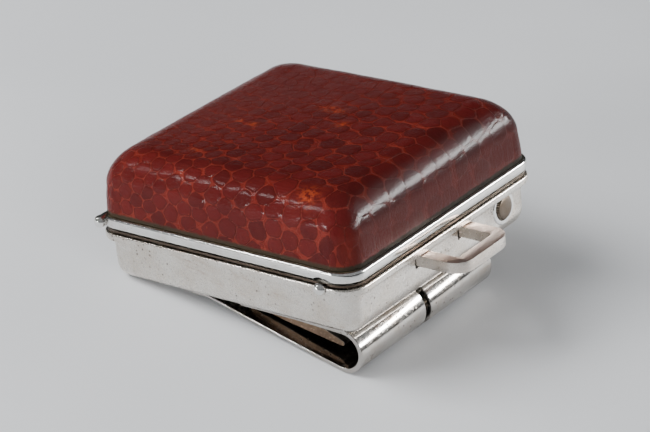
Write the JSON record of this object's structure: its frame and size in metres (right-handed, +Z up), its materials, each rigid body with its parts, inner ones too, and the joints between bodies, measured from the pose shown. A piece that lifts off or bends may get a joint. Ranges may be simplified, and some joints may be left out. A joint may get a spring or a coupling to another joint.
{
  "type": "money clip",
  "caption": "Pocket money clip with a square hinged watch case: leather-covered domed lid, pull loop, winding crown and a rolled spring clip underneath.",
  "frame": {"origin": "on the table, under the middle of the object's footprint, as it lies resting on the clip's roll and the tray's hinge-side edge", "axes": "+X from the lid hinge towards the pull loop, +Y from the front side towards the crown's corner, +Z up; the case itself leans back about 11 degrees about Y"},
  "size_m": [0.0518, 0.0458, 0.026],
  "materials": {
    "satin_nickel": "worn satin nickel plate with small dark pits",
    "lid_nickel": "satin nickel pressing under the leather",
    "bright_chrome": "bright plate, lightly scratched",
    "spring_steel": "plain satin",
    "gilt_brass": "gilt, satin",
    "silvered_dial": "silvered, matt",
    "blued_steel": "blued, polished",
    "watch_glass": "clear",
    "oxblood_leather": "glossy glazed reptile leather with oval scales",
    "suede_lining": "short-nap suede cloth"
  },
  "bodies": {
    "case": {"case_tray": "satin_nickel", "frame_plate": "spring_steel", "frame_screw_1": "spring_steel", "frame_screw_2": "spring_steel", "frame_screw_3": "spring_steel", "frame_screw_4": "spring_steel", "movement": "gilt_brass", "dial": "silvered_dial", "hand_post": "spring_steel", "crystal_bezel": "bright_chrome", "crystal": "watch_glass", "crown_cup": "bright_chrome", "case_knuckle_1": "bright_chrome", "case_knuckle_2": "bright_chrome", "hinge_pin": "bright_chrome", "catch_pin": "satin_nickel", "catch_spring_1": "spring_steel", "catch_spring_2": "spring_steel", "clip_strap": "satin_nickel", "clip_tongue": "satin_nickel", "clip_rivet_1": "spring_steel", "clip_rivet_2": "spring_steel"},
    "lid": {"lid_leather": "oxblood_leather", "lid_shell": "lid_nickel", "lid_lining": "suede_lining", "lid_rim": "bright_chrome", "lid_keeper": "spring_steel", "lid_knuckle_1": "bright_chrome", "lid_knuckle_2": "bright_chrome", "lid_knuckle_3": "bright_chrome"},
    "catch_lever": {"thumb_loop": "satin_nickel", "catch_beak": "spring_steel"},
    "winding_stem": {"winding_stem": "spring_steel"},
    "crown": {"crown": "satin_nickel"},
    "hour_hand": {"hour_hand": "blued_steel"},
    "minute_hand": {"minute_hand": "blued_steel"},
    "clip_leaf": {"clip_leaf": "satin_nickel"}
  },
  "joints": [
    {"name": "lid_hinge", "type": "hinge", "parent": "case", "child": "lid", "pos_m": [-0.02444, 0, 0.00878], "axis": [0, -1, 0], "range_deg": [0, 100]},
    {"name": "catch_swing", "type": "hinge", "parent": "case", "child": "catch_lever", "pos_m": [0.0137, 0, 0.01432], "axis": [0, 1, 0], "range_deg": [0, 6], "stiffness_Nm_per_rad": 0.08, "springref_deg": -3.44},
    {"name": "stem_pull", "type": "slide", "parent": "case", "child": "winding_stem", "axis": [0.9819, 0, 0.1896], "range_m": [0, 0.0007]},
    {"name": "crown_turn", "type": "hinge", "parent": "winding_stem", "child": "crown", "pos_m": [0.01886, 0.0146, 0.01241], "axis": [0.9819, 0, 0.1896], "continuous": true},
    {"name": "minute_turn", "type": "hinge", "parent": "case", "child": "minute_hand", "pos_m": [-0.00553, 0, 0.00999], "axis": [0.1896, 0, -0.9819], "continuous": true},
    {"name": "hour_turn", "type": "hinge", "parent": "case", "child": "hour_hand", "pos_m": [-0.00544, 0, 0.00955], "axis": [0.1896, 0, -0.9819], "continuous": true},
    {"name": "clip_flex", "type": "hinge", "parent": "case", "child": "clip_leaf", "pos_m": [0.01523, -0.00275, 0.00035], "axis": [0, -1, 0], "range_deg": [0, 8], "stiffness_Nm_per_rad": 1.4, "springref_deg": -4.01}
  ],
  "couplings": [
    {"joint": "hour_turn", "follows": "minute_turn", "ratio": 0.083333}
  ]
}
